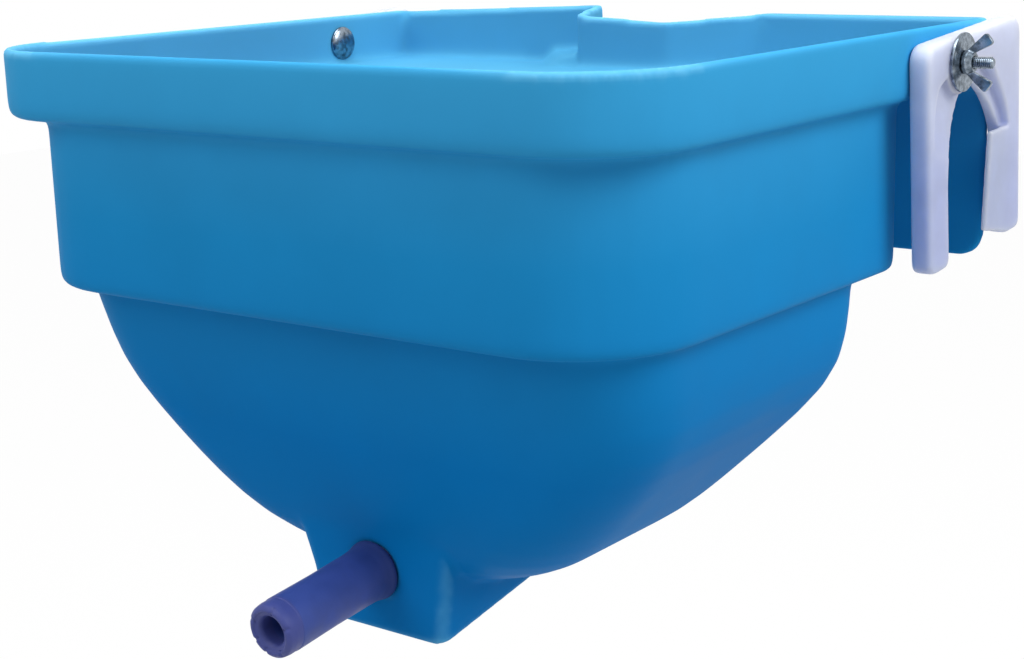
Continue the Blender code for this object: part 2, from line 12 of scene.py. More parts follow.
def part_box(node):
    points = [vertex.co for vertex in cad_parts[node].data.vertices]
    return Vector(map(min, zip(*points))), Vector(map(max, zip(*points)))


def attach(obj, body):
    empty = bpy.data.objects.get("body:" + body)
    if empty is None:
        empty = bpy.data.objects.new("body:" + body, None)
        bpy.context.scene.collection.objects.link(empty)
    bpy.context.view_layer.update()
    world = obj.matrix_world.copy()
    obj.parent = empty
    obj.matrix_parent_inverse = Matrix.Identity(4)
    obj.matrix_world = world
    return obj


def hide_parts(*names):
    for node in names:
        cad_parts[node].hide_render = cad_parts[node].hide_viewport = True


bl_info = {
    "name": "Calf feeding bucket",
    "version": (1, 0, 0),
    "blender": (4, 5, 0),
    "location": "3D View > Sidebar > Feeder",
    "description": "Builds the looks of a calf feeding bucket round its packed CAD model",
    "category": "Object",
}

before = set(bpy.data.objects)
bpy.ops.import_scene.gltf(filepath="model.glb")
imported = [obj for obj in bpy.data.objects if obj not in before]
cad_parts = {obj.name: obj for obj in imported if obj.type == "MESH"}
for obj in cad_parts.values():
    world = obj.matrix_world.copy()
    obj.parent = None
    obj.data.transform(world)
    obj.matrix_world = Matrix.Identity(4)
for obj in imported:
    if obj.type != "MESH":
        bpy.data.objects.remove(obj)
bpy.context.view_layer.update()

MM = 0.001
MERGE_DISTANCE = 0.01 * MM

# A rounded corner takes at most this share of each side beside it
LONGEST_CUT = 0.45

SIDES = (("right", 1.0), ("left", -1.0))

# Places and sizes on the object

WALL = 5.0 * MM
GAP = 0.3 * MM
RIM_HALF_WIDTH = 207.5 * MM
RIM_FRONT_Y = -313.0 * MM
RIM_FRONT_RADIUS = 55.0 * MM
REAR_WALL_Y = 41.5 * MM

TEAT_FACE = Vector((0.0, -239.9 * MM, -231.0 * MM))
TEAT_DROOP = math.radians(6.0)
TEAT_LENGTH = 78.3 * MM
TEAT_FLANGE = 3.5 * MM
TEAT_GROOVE_RADIUS = 12.0 * MM
TEAT_LIP_DEPTH = 2.0 * MM
TEAT_EDGE = 0.8 * MM

# Nicks in the teat's lip: their places round it, and how far from there they are full and end, in degrees
NICK_ANGLES = (-150.0, -112.0, -60.0, 20.0, 75.0, 160.0)
NICK_REACH = (2.0, 6.0)
NICK_DEPTH = 0.7 * MM

# The bolt; its thread leaves a plain length at each end, and its foot is sunk into the core
BOLT_LENGTH = 35.0 * MM
PLAIN_END = 1.0 * MM
THREAD_SINK = 0.2 * MM
THREAD_CREST = (0.44, 0.56)
CORE_EDGE = 0.2 * MM
HEAD_RIM = 0.7 * MM
HEAD_BEVEL = 0.15 * MM
HEAD_STEPS = 17
WASHER_EDGE = 0.35 * MM

# The step beside the fold: its corners in millimetres by their signs along X, Y and Z
FOLD_STEP = {
    (-1, -1, -1): (-62.0, 7.0, 3.0), (1, -1, -1): (-40.0, 5.0, 3.0),
    (-1, 1, -1): (-94.0, 41.0, 3.0), (1, 1, -1): (-40.0, 41.0, 3.0),
    (-1, -1, 1): (-54.0, 12.0, 11.0), (1, -1, 1): (-40.0, 9.0, 12.0),
    (-1, 1, 1): (-82.0, 41.0, 12.5), (1, 1, 1): (-40.0, 41.0, 14.0),
}

# The lip on a bracket's rear leg: Y and Z of its corners in millimetres by their signs
LEG_LIP = {(-1, -1): (14.2, -75.0), (1, -1): (45.0, -80.0), (-1, 1): (18.6, -22.0), (1, 1): (49.0, -21.0)}
LEG_LIP_THICKNESS = 3.6
LEG_LIP_SINK = 0.05
FRONT_LEG_GROWTH = 2.5 * MM
FRONT_LEG_EDGE = (-52.0, -42.0)

# Where the smoothing of the tub changes, in millimetres: it rises or falls evenly between the two
# places of a pair. The lip's pair is measured down from the rim's top.
RIM_LIP_ZONE = (14.0, 8.0)
SKIRT_ZONE = (-94.0, -88.0)
SKIRT_FRONT_Y = 30.0
HOPPER_FOOT_ZONE = (-255.0, -235.0)
NOSE_FOOT_ZONE = (-216.0, -196.0)
NOSE_HALF_WIDTH = 60.0
NOSE_REAR_Y = -150.0
FOOT_CRISPNESS = 0.8
FOLD_STEP_ZONE = (Vector((-100.0, 2.0, 4.0)), Vector((-36.0, 38.0, 18.0)))
FOLD_STEP_WEIGHT = 0.15
CREASE_SIDE_ZONE = (34.0, 50.0)
CREASE_REAR_ZONE = (-220.0, -200.0)
CREASE_TOP_ZONE = (-195.0, -180.0)
CREASE_FOOT_ZONE = (-246.0, -238.0)

# Sides of the turned pieces
TEAT_SIDES = 120
WASHER_SIDES = 96
HEAD_SIDES = 72
CORE_SIDES = 32
THREAD_SIDES = 28

# Rounds of smoothing
WHOLE_TUB_ROUNDS = 4
WALL_ROUNDS = 26
CREASE_ROUNDS = 60
BRACKET_ROUNDS = 18
WING_NUT_ROUNDS = 6

# Most of a noise lies between these values
NOISE_LOW = 0.3
NOISE_HIGH = 0.7

# Places between which a colour changes; on the tub and the brackets the change along Z is painted light and
# shade by height
TUB_PAINTED_SHADE_Z = (-160.0 * MM, 40.0 * MM)
BRACKET_PAINTED_LIGHT_Z = (-45.0 * MM, 45.0 * MM)
TEAT_BAND_Y = (-307.5 * MM, -308.5 * MM)
TEAT_COLLAR_Y = (-262.0 * MM, -240.0 * MM)

POLYETHYLENE_IOR = 1.51
RUBBER_IOR = 1.52

# Edges up to this angle between faces are shaded smooth, in degrees
MOULDED_ANGLE = 180.0
RUBBER_ANGLE = 60.0
STEEL_ANGLE = 30.0

# The camera, the floor and the lamps; each lamp has its name, place, size and the name of its power
SENSOR_WIDTH = 36.0
CLIP_START = 0.05
FLOOR_GREY = "c4c4c4"
FLOOR_GLOW = 1.05
FLOOR_GLOW_SHARE = 0.9
FLOOR_SIZE = 12.0
LAMP_AIM = (0.0, -0.1, 0.0)
LAMPS = (
    ("key_lamp", (3.2, 0.2, 2.2), 2.4, "key_power"),
    ("top_lamp", (-0.1, -0.3, 1.6), 1.2, "top_power"),
    ("front_lamp", (-1.0, -3.0, 2.2), 2.6, "front_power"),
)


def linear_colour(hex_code):
    """The linear colour of an sRGB hex value."""
    channels = []
    for start in (0, 2, 4):
        value = int(hex_code[start:start + 2], 16) / 255.0
        channels.append(value / 12.92 if value <= 0.04045 else ((value + 0.055) / 1.055) ** 2.4)
    return tuple(channels)


def length(name, description, default):
    return bpy.props.FloatProperty(
        name=name, description=description, default=default, min=0.0, precision=5, unit="LENGTH"
    )


def colour(name, description, hex_code):
    return bpy.props.FloatVectorProperty(
        name=name, description=description, default=linear_colour(hex_code),
        size=3, min=0.0, max=1.0, subtype="COLOR",
    )


class TubLooks(bpy.types.PropertyGroup):
    # Painted light: the rim colour is the plastic made lighter high up, where more light falls
    rim_painted_light: colour("Rim plastic", "Colour of the thin upper walls, which glow with the light", "3ea7df")
    plastic: colour("Plastic", "Colour of the blue polyethylene", "1f8fcf")
    # Painted shade: the low colour is the plastic made darker low on the hopper, where less light falls
    low_painted_shade: colour("Low plastic", "Colour of the thick plastic low in the hopper", "0778c2")
    # Painted light: the paler colour given to the walls inside the rim band
    inner_painted_light: colour("Inner plastic", "Colour inside the rim band, which glows with the light", "53a8d3")
    # Painted highlight: the pale colour mixed onto convex edges
    edge_painted_highlight: colour("Edges", "Colour of thin edges, where light passes through the plastic", "74c8f0")
    grid: length("Grid", "Size of the even grid that carries the moulded surface", 1.8 * MM)
    triangles: bpy.props.IntProperty(
        name="Triangles", description="Most triangles that the tub keeps", default=190000, min=1000,
    )
    peel: length("Peel", "Width of the bumps in the moulded surface", 1.8 * MM)
    wave: length("Wave", "Length of the slow waves that cooling leaves in large walls", 70.0 * MM)


class BracketLooks(bpy.types.PropertyGroup):
    plastic: colour("Plastic", "Colour of the white polyethylene", "aeb8e0")
    # Painted light: the lighter colour towards the bracket's top
    top_painted_light: colour("Lit plastic", "Colour of its thin top, where light passes through", "d0d6ee")
    # Painted highlight: the near-white colour mixed onto the bracket's convex edges
    edge_painted_highlight: colour("Edges", "Colour of the rubbed edges", "f7f8fd")
    grid: length("Grid", "Size of the even grid that carries the bracket's surface", 0.9 * MM)
    grain: length("Grain", "Width of the grain in the moulded face", 0.8 * MM)
    smear: length("Smear", "Width of the smears that hands leave", 18.0 * MM)


class TeatLooks(bpy.types.PropertyGroup):
    rubber: colour("Rubber", "Colour of the indigo rubber", "3a4f9c")
    dark_rubber: colour("Dark rubber", "Colour of the rubber where milk and dirt have darkened it", "202f63")
    tip_rubber: colour("Tip", "Colour of the rubbed band at the tip", "41498c")
    radius: length("Radius", "Outer radius of the tube", 14.5 * MM)
    bore_radius: length("Bore radius", "Radius of the hole through the teat", 7.4 * MM)
    collar_radius: length("Collar radius", "Radius of the collar against the nose", 16.2 * MM)
    speck: length("Speck", "Width of the fine specks in the rubber", 0.7 * MM)
    smear: length("Smear", "Width of the darker smears in the rubber", 9.0 * MM)


class HardwareLooks(bpy.types.PropertyGroup):
    zinc: colour("Zinc", "Colour of the bright zinc plating", "8f9ba8")
    dull_zinc: colour("Dull zinc", "Colour of the plating where it has dulled", "55616c")
    thread_radius: length("Thread radius", "Outer radius of the thread", 3.0 * MM)
    thread_depth: length("Thread depth", "Height of the thread's ridge", 0.55 * MM)
    pitch: length("Pitch", "Rise of the thread in one turn", 1.0 * MM)
    head_radius: length("Head radius", "Radius of the bolt's mushroom head", 10.5 * MM)
    head_height: length("Head height", "Height of the bolt's mushroom head", 4.0 * MM)
    nut_grid: length("Nut grid", "Size of the even grid that carries the wing nut's surface", 0.3 * MM)
    cloud: length("Cloud", "Width of the dull clouds in the plating", 3.0 * MM)
    scratch: length("Scratch", "Width of the fine scratches in the plating", 0.4 * MM)


class StageLooks(bpy.types.PropertyGroup):
    camera_place: bpy.props.FloatVectorProperty(
        name="Camera place", description="Where the camera stands",
        default=(0.5933, -0.8932, 0.0999), size=3, subtype="TRANSLATION", unit="LENGTH",
    )
    camera_heading: bpy.props.FloatProperty(
        name="Heading", description="Turn of the camera from the rear towards the left",
        default=0.652684, subtype="ANGLE",
    )
    camera_drop: bpy.props.FloatProperty(
        name="Drop", description="How far the camera looks down", default=0.229787, subtype="ANGLE",
    )
    camera_roll: bpy.props.FloatProperty(
        name="Roll", description="Tilt of the camera about its own line of sight",
        default=-0.0272185, subtype="ANGLE",
    )
    lens: bpy.props.FloatProperty(
        name="Lens", description="Focal length in millimetres on a sensor 36 mm wide",
        default=63.326, min=1.0,
    )
    rail_height: length("Rail height", "Height of the rail over the ground", 0.9)
    key_power: bpy.props.FloatProperty(
        name="Key", description="Power of the large soft lamp at the right",
        default=84.0, min=0.0, unit="POWER",
    )
    top_power: bpy.props.FloatProperty(
        name="Top", description="Power of the soft lamp above", default=17.5, min=0.0, unit="POWER",
    )
    front_power: bpy.props.FloatProperty(
        name="Front", description="Power of the soft lamp in front", default=34.0, min=0.0, unit="POWER",
    )
    fill_strength: bpy.props.FloatProperty(
        name="Fill", description="Strength of the light from the room", default=0.62, min=0.0,
    )


class FeederLooks(bpy.types.PropertyGroup):
    tub: bpy.props.PointerProperty(type=TubLooks)
    bracket: bpy.props.PointerProperty(type=BracketLooks)
    teat: bpy.props.PointerProperty(type=TeatLooks)
    hardware: bpy.props.PointerProperty(type=HardwareLooks)
    stage: bpy.props.PointerProperty(type=StageLooks)


def looks():
    return bpy.context.scene.feeder_looks


# Modelling helpers

def activate(item):
    bpy.ops.object.select_all(action="DESELECT")
    item.select_set(True)
    bpy.context.view_layer.objects.active = item


def edit(item):
    """Opens a piece in edit mode with everything selected."""
    activate(item)
    bpy.ops.object.mode_set(mode="EDIT")
    bpy.ops.mesh.select_all(action="SELECT")


def leave_edit():
    bpy.ops.object.mode_set(mode="OBJECT")


def apply_modifier(item, kind, **settings):
    activate(item)
    modifier = item.modifiers.new(kind.lower(), kind)
    for key, value in settings.items():
        setattr(modifier, key, value)
    bpy.ops.object.modifier_apply(modifier=modifier.name)


def node_copy(node, name):
    """Starts a piece from the merged mesh of a CAD node."""
    item = bpy.data.objects.new(name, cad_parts[node].data.copy())
    bpy.context.scene.collection.objects.link(item)
    item.data.materials.clear()
    edit(item)
    bpy.ops.mesh.remove_doubles(threshold=MERGE_DISTANCE)
    leave_edit()
    return item


def weigh_points(item, name, weight):
    """A vertex group whose weights come from a function of a point's place in millimetres."""
    group = item.vertex_groups.new(name=name)
    for vertex in item.data.vertices:
        group.add([vertex.index], weight(vertex.co / MM), "REPLACE")
    return group.name


def step_between(low, high, value):
    """0 at low, 1 at high and an even slope between them."""
    return min(1.0, max(0.0, (value - low) / (high - low)))


def closed_outline(name, points):
    """A closed line through points of radius and height in metres, beside the Z axis."""
    bpy.ops.object.select_all(action="DESELECT")
    bpy.ops.mesh.primitive_circle_add(vertices=len(points))
    item = bpy.context.object
    item.name = name
    item.data.name = name
    for vertex, (radius, height) in zip(item.data.vertices, points):
        vertex.co = (radius, 0.0, height)
    return item


def face_outwards(item):
    edit(item)
    bpy.ops.mesh.normals_make_consistent(inside=False)
    leave_edit()


def spun(name, profile, steps):
    """A closed profile of radius and height in metres, spun about the Z axis."""
    item = closed_outline(name, profile)
    edit(item)
    bpy.ops.mesh.spin(steps=steps, angle=math.radians(360.0), center=(0.0, 0.0, 0.0), axis=(0.0, 0.0, 1.0))
    bpy.ops.mesh.select_all(action="SELECT")
    bpy.ops.mesh.remove_doubles(threshold=MERGE_DISTANCE)
    bpy.ops.mesh.dissolve_degenerate(threshold=MERGE_DISTANCE)
    bpy.ops.mesh.delete_loose()
    leave_edit()
    face_outwards(item)
    return item


def rounded(profile, radius, steps=4):
    """The profile with each of its corners cut back by an arc of about the radius."""
    points = []
    for index, point in enumerate(profile):
        corner = Vector(point)
        before = Vector(profile[index - 1]) - corner
        after = Vector(profile[(index + 1) % len(profile)]) - corner
        reach = min(radius, before.length * LONGEST_CUT, after.length * LONGEST_CUT)
        if corner.x < MERGE_DISTANCE or reach < MERGE_DISTANCE:
            points.append(tuple(corner))
            continue
        first = corner + before.normalized() * reach
        last = corner + after.normalized() * reach
        for step in range(steps + 1):
            t = step / steps
            points.append(tuple(first * (1.0 - t) ** 2 + corner * 2.0 * t * (1.0 - t) + last * t ** 2))
    return points


def six_sided(corner):
    """A block with six faces; corner gives a corner's place in millimetres from its three signs."""
    bpy.ops.object.select_all(action="DESELECT")
    bpy.ops.mesh.primitive_cube_add()
    item = bpy.context.object
    for vertex in item.data.vertices:
        signs = (int(math.copysign(1, value)) for value in vertex.co)
        vertex.co = Vector(corner(*signs)) * MM
    face_outwards(item)
    return item


def unite(item, addition):
    """Adds a solid to a piece and removes the separate solid."""
    apply_modifier(item, "BOOLEAN", operation="UNION", object=addition, solver="EXACT")
    bpy.data.objects.remove(addition)


def smooth(item, rounds, group=""):
    """Smooths the whole piece, or as far as a vertex group's weights say."""
    apply_modifier(item, "SMOOTH", factor=0.5, iterations=rounds, vertex_group=group)


def place(item, matrix):
    """Moves a piece to its place and leaves the place in its mesh."""
    item.matrix_world = matrix
    activate(item)
    bpy.ops.object.transform_apply(location=True, rotation=True, scale=True)


def join(items):
    """Joins pieces into the first one."""
    activate(items[0])
    for item in items[1:]:
        item.select_set(True)
    bpy.ops.object.join()
    return items[0]


def finish_piece(item, material, body, node, angle):
    """Gives a piece its material and its place in the frame; edges over the angle in degrees stay sharp."""
    item.data.materials.clear()
    item.data.materials.append(material)
    activate(item)
    bpy.ops.object.shade_smooth_by_angle(angle=math.radians(angle))
    item.vertex_groups.clear()
    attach(item, body)
    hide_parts(node)


# Materials

def fill_inputs(tree, node, inputs):
    """Gives a node's inputs values or links."""
    for key, value in inputs.items():
        if isinstance(value, bpy.types.NodeSocket):
            tree.links.new(value, node.inputs[key])
        else:
            node.inputs[key].default_value = value


def add_node(tree, kind, inputs=None, **settings):
    """Adds a node, sets it up and fills its inputs."""
    node = tree.nodes.new(kind)
    for key, value in settings.items():
        setattr(node, key, value)
    fill_inputs(tree, node, inputs or {})
    return node


def new_material(name):
    """A new material, its nodes, its shader and a point's place on the piece."""
    material = bpy.data.materials.new(name)
    material.use_nodes = True
    tree = material.node_tree
    spot = add_node(tree, "ShaderNodeTexCoord").outputs["Object"]
    return material, tree, tree.nodes["Principled BSDF"], spot


def opaque(rgb):
    return (*rgb, 1.0)


def ramp(tree, value, stops):
    """A colour ramp; stops are positions and colours or grey levels."""
    node = add_node(tree, "ShaderNodeValToRGB", {"Fac": value})
    elements = node.color_ramp.elements
    while len(elements) < len(stops):
        elements.new(0.5)
    for element, (position, shade) in zip(elements, stops):
        element.position = position
        element.color = opaque(shade if isinstance(shade, tuple) else (shade, shade, shade))
    return node.outputs["Color"]


def over_noise(tree, noise_value, low, high):
    """Runs from one shade to another over the range that most of a noise fills."""
    return ramp(tree, noise_value, ((NOISE_LOW, low), (NOISE_HIGH, high)))


def mixed(tree, factor, first, second):
    """A mix of two colours; a mix node's colour sockets are its inputs 6 and 7 and its output 2."""
    return add_node(tree, "ShaderNodeMix", {0: factor, 6: first, 7: second}, data_type="RGBA").outputs[2]


def computed(tree, operation, first, second=0.0):
    """The result of a math node."""
    return add_node(tree, "ShaderNodeMath", {0: first, 1: second}, operation=operation).outputs["Value"]


def shaded(tree, rgb, shade):
    """A colour made darker by a grey."""
    return add_node(tree, "ShaderNodeVectorMath", {0: rgb, 1: shade}, operation="MULTIPLY").outputs["Vector"]


def noise(tree, spot, width, detail, distortion=0.0):
    """Cloudy noise with bumps of about the width in metres."""
    return add_node(
        tree, "ShaderNodeTexNoise",
        {"Vector": spot, "Scale": 1.0 / width, "Detail": detail, "Distortion": distortion},
    ).outputs["Fac"]


def share_between(tree, value, ends, most=1.0):
    """0 at the first end, most at the second end and an even slope between them."""
    return add_node(
        tree, "ShaderNodeMapRange", {"Value": value, "From Min": ends[0], "From Max": ends[1], "To Max": most}
    ).outputs["Result"]


def bump(tree, height, strength, distance, **normal):
    """A surface normal as if the height rose by the distance in metres."""
    return add_node(
        tree, "ShaderNodeBump", {"Height": height, "Strength": strength, "Distance": distance, **normal}
    ).outputs["Normal"]


def edge_share(tree, start, end, most):
    """0 on flat faces, rising to most on convex edges."""
    pointiness = add_node(tree, "ShaderNodeNewGeometry").outputs["Pointiness"]
    return ramp(tree, pointiness, ((start, 0.0), (end, most)))


def inside_rim(tree, place_at):
    """1 inside the rim band and on the shelf, 0 on the rest; the band's plan has two rounded corners."""
    sideways = computed(tree, "ABSOLUTE", place_at["X"])
    forwards = computed(tree, "MULTIPLY", place_at["Y"], -1.0)
    side_reach = computed(tree, "SUBTRACT", sideways, RIM_HALF_WIDTH - RIM_FRONT_RADIUS)
    front_reach = computed(tree, "SUBTRACT", forwards, -RIM_FRONT_Y - RIM_FRONT_RADIUS)
    past_straights = add_node(tree, "ShaderNodeCombineXYZ", {
        "X": computed(tree, "MAXIMUM", side_reach, 0.0),
        "Y": computed(tree, "MAXIMUM", front_reach, 0.0),
    }).outputs["Vector"]
    reach = add_node(tree, "ShaderNodeVectorMath", {0: past_straights}, operation="LENGTH").outputs["Value"]
    within = computed(tree, "LESS_THAN", reach, RIM_FRONT_RADIUS - WALL / 2.0)
    before_rear = computed(tree, "LESS_THAN", place_at["Y"], REAR_WALL_Y)
    above = computed(tree, "GREATER_THAN", place_at["Z"], WALL / 2.0)
    return computed(tree, "MULTIPLY", computed(tree, "MULTIPLY", within, before_rear), above)


def moulded_polyethylene():
    """Rotationally moulded polyethylene: soft and waxy, with slow waves and fine peel, painted light and
    shade by height, painted light inside the rim band and painted highlights on edges.
    """
    tub = looks().tub
    material, tree, shader, spot = new_material("rotationally_moulded_polyethylene")
    waves = noise(tree, spot, tub.wave, 3.0)
    peel = noise(tree, spot, tub.peel, 2.0)
    place_at = add_node(tree, "ShaderNodeSeparateXYZ", {"Vector": spot}).outputs
    share = share_between(tree, place_at["Z"], TUB_PAINTED_SHADE_Z)
    # Painted light and shade: darker low on the hopper, lighter up at the rim, where more light falls
    painted_height_shade = ramp(tree, share, (
        (0.0, tuple(tub.low_painted_shade)), (0.55, tuple(tub.plastic)), (1.0, tuple(tub.rim_painted_light)),
    ))
    # Painted light: inside the rim band the walls are made paler, for the light that comes through them from
    # outside
    painted_inner_glow = mixed(tree, inside_rim(tree, place_at), painted_height_shade, opaque(tub.inner_painted_light))
    # Powder that melted unevenly leaves the colour a little lighter or darker from place to place
    clouds_and_painted_light = shaded(tree, painted_inner_glow, over_noise(tree, waves, 0.93, 1.0))
    # Painted highlight: convex edges are made paler only at the nose and at the rim's lip
    thin = ramp(tree, share, ((0.0, 0.7), (0.05, 0.0), (0.90, 0.0), (0.97, 1.0)))
    painted_edge_highlight = computed(tree, "MULTIPLY", edge_share(tree, 0.506, 0.545, 0.8), thin)
    slow = bump(tree, waves, 0.25, 1.5 * MM)
    fill_inputs(tree, shader, {
        "Base Color": mixed(tree, painted_edge_highlight, clouds_and_painted_light, opaque(tub.edge_painted_highlight)),
        "Roughness": over_noise(tree, waves, 0.46, 0.56),
        "Normal": bump(tree, peel, 0.22, 0.12 * MM, Normal=slow),
        "IOR": POLYETHYLENE_IOR,
        "Specular IOR Level": 0.02,
    })
    return material


def white_polyethylene():
    """Injection-moulded white polyethylene: satin and a little translucent, with painted light towards its
    top and painted highlights on its edges.
    """
    bracket = looks().bracket
    material, tree, shader, spot = new_material("moulded_white_polyethylene")
    smears = noise(tree, spot, bracket.smear, 4.0)
    grain = noise(tree, spot, bracket.grain, 2.0)
    height = add_node(tree, "ShaderNodeSeparateXYZ", {"Vector": spot}).outputs["Z"]
    # Painted light: the bracket is made lighter towards its top, where more light falls
    painted_height_shade = ramp(
        tree, share_between(tree, height, BRACKET_PAINTED_LIGHT_Z),
        ((0.0, tuple(bracket.plastic)), (1.0, tuple(bracket.top_painted_light))),
    )
    smears_and_painted_light = shaded(tree, painted_height_shade, ramp(tree, smears, ((0.35, 0.92), (0.62, 1.0))))
    # Painted highlight: convex edges are mixed towards the near-white edge colour
    fill_inputs(tree, shader, {
        "Base Color": mixed(tree, edge_share(tree, 0.50, 0.58, 0.45), smears_and_painted_light, opaque(bracket.edge_painted_highlight)),
        "Roughness": over_noise(tree, smears, 0.38, 0.50),
        "Normal": bump(tree, grain, 0.25, 0.08 * MM),
        "IOR": POLYETHYLENE_IOR,
        "Subsurface Weight": 0.8,
        "Subsurface Radius": (1.0, 1.0, 1.0),
        "Subsurface Scale": 20.0 * MM,
    })
    return material


def indigo_rubber():
    """Moulded rubber: matt, with fine specks, a rubbed band at its tip and a darkened collar."""
    teat = looks().teat
    material, tree, shader, spot = new_material("indigo_moulded_rubber")
    specks = noise(tree, spot, teat.speck, 3.0)
    smears = noise(tree, spot, teat.smear, 5.0)
    along = add_node(tree, "ShaderNodeSeparateXYZ", {"Vector": spot}).outputs["Y"]
    band = share_between(tree, along, TEAT_BAND_Y, 0.8)
    collar = share_between(tree, along, TEAT_COLLAR_Y, 0.7)
    smeared = tuple(channel * 0.82 for channel in teat.rubber)
    worn = over_noise(tree, smears, smeared, tuple(teat.rubber))
    rubbed = mixed(tree, band, worn, opaque(teat.tip_rubber))
    fill_inputs(tree, shader, {
        "Base Color": mixed(tree, collar, rubbed, opaque(teat.dark_rubber)),
        "Roughness": over_noise(tree, smears, 0.42, 0.60),
        "Normal": bump(tree, specks, 0.35, 0.12 * MM),
        "IOR": RUBBER_IOR,
        "Specular IOR Level": 0.35,
    })
    return material


def bright_zinc(name):
    """Electroplated zinc: bright, with dull clouds and fine scratches from handling."""
    hardware = looks().hardware
    material, tree, shader, spot = new_material(name)
    clouds = noise(tree, spot, hardware.cloud, 4.0)
    scratches = noise(tree, spot, hardware.scratch, 2.0, 1.5)
    fill_inputs(tree, shader, {
        "Base Color": ramp(tree, clouds, ((0.35, tuple(hardware.dull_zinc)), (0.6, tuple(hardware.zinc)))),
        "Roughness": over_noise(tree, clouds, 0.30, 0.20),
        "Normal": bump(tree, scratches, 0.06, 0.03 * MM),
        "Metallic": 1.0,
    })
    return material


# Pieces

def teat_axis():
    return Matrix.Translation(TEAT_FACE) @ Matrix.Rotation(math.radians(90.0) + TEAT_DROOP, 4, "X")


def bolt_axis(label, side):
    """The bolt's axis, with Z away from the tub and the tub's outer face at 0."""
    low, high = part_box("bolt_" + label)
    middle = (low + high) / 2.0
    head_end = low.x if side > 0.0 else high.x
    face = head_end + side * (looks().hardware.head_height + WALL + GAP)
    return Matrix.Translation((face, middle.y, middle.z)) @ Matrix.Rotation(side * math.radians(90.0), 4, "Y")


def build_tub():
    tub = node_copy("tub_shell", "tub_moulding")
    # The flat step that leads from the shelf up to the fold's left side
    unite(tub, six_sided(lambda *signs: FOLD_STEP[signs]))
    apply_modifier(tub, "REMESH", mode="VOXEL", voxel_size=looks().tub.grid)
    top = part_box("tub_shell")[1].z / MM

    def on_walls(point):
        """1 on the walls, which are smoothed far, and less at the lip, the feet and the fold's step."""
        below_lip = 1.0 - step_between(top - RIM_LIP_ZONE[0], top - RIM_LIP_ZONE[1], point.z)
        above_skirt_edge = step_between(*SKIRT_ZONE, point.z) if point.y > SKIRT_FRONT_Y else 1.0
        nose = abs(point.x) < NOSE_HALF_WIDTH and point.y < NOSE_REAR_Y
        foot_zone = NOSE_FOOT_ZONE if nose else HOPPER_FOOT_ZONE
        above_foot = 1.0 - FOOT_CRISPNESS * (1.0 - step_between(*foot_zone, point.z))
        low, high = FOLD_STEP_ZONE
        in_step = all(low[axis] < point[axis] < high[axis] for axis in range(3))
        return below_lip * above_skirt_edge * above_foot * (FOLD_STEP_WEIGHT if in_step else 1.0)

    def on_crease(point):
        """1 along the crease where the nose leaves the hopper."""
        near = 1.0 - step_between(*CREASE_SIDE_ZONE, abs(point.x))
        front = 1.0 - step_between(*CREASE_REAR_ZONE, point.y)
        under = 1.0 - step_between(*CREASE_TOP_ZONE, point.z)
        return near * front * under * step_between(*CREASE_FOOT_ZONE, point.z)

    smooth(tub, WHOLE_TUB_ROUNDS)
    smooth(tub, WALL_ROUNDS, weigh_points(tub, "walls", on_walls))
    smooth(tub, CREASE_ROUNDS, weigh_points(tub, "crease", on_crease))
    # A face of the even grid has four sides and becomes two triangles
    triangles = 2.0 * len(tub.data.polygons)
    apply_modifier(tub, "DECIMATE", ratio=min(1.0, looks().tub.triangles / triangles))
    finish_piece(tub, moulded_polyethylene(), "tub", "tub_shell", MOULDED_ANGLE)


def build_teat():
    """The tube flares into its collar; the mouth is a wide ring round a smaller hole."""
    teat = looks().teat
    radius = teat.radius
    bore = teat.bore_radius
    collar = teat.collar_radius
    flange = collar - 0.2 * MM
    inner = -WALL - GAP
    back = inner - TEAT_FLANGE
    tip = TEAT_LENGTH
    profile = [
        # The flange and the groove, which hold in the wall
        (bore, back), (radius, back), (flange, back + 1.5 * MM), (flange, inner),
        (TEAT_GROOVE_RADIUS, inner), (TEAT_GROOVE_RADIUS, GAP),
        # The collar and its flare into the tube
        (collar, GAP), (collar, 2.2 * MM), (collar - 0.7 * MM, 4.5 * MM),
        (radius + 0.3 * MM, 8.5 * MM), (radius, 14.0 * MM), (radius - 0.2 * MM, 40.0 * MM),
        # The rubbed band and the lip
        (radius + 0.1 * MM, tip - 10.0 * MM), (radius - 0.2 * MM, tip - 9.7 * MM),
        (radius - 0.1 * MM, tip - 5.0 * MM), (radius - 0.6 * MM, tip - 1.4 * MM), (radius - 2.3 * MM, tip),
        # The mouth
        (bore + 3.6 * MM, tip), (bore + 2.9 * MM, tip - 0.9 * MM),
        (bore + 1.0 * MM, tip - 1.8 * MM), (bore, tip - 3.6 * MM),
    ]
    item = spun("rubber_teat", rounded(profile, TEAT_EDGE), TEAT_SIDES)
    # Flash torn from the mould leaves small nicks in the lip
    for vertex in item.data.vertices:
        turn = math.degrees(math.atan2(vertex.co.y, vertex.co.x))
        off = min(abs((turn - nick + 180.0) % 360.0 - 180.0) for nick in NICK_ANGLES)
        if vertex.co.z > tip - TEAT_LIP_DEPTH and vertex.co.xy.length > bore + 2.5 * MM:
            vertex.co.z -= NICK_DEPTH * (1.0 - step_between(*NICK_REACH, off))
    place(item, teat_axis())
    finish_piece(item, indigo_rubber(), "tub", "teat", RUBBER_ANGLE)


def leg_lip(side):
    """The thin lip that narrows the slot along the lower half of the rear leg."""
    outer = abs(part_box("hook_bracket_right")[1].x) / MM

    def corner(outwards, rearwards, upwards):
        depth = outer - (LEG_LIP_SINK if outwards > 0 else LEG_LIP_THICKNESS)
        return (side * depth, *LEG_LIP[rearwards, upwards])

    return six_sided(corner)


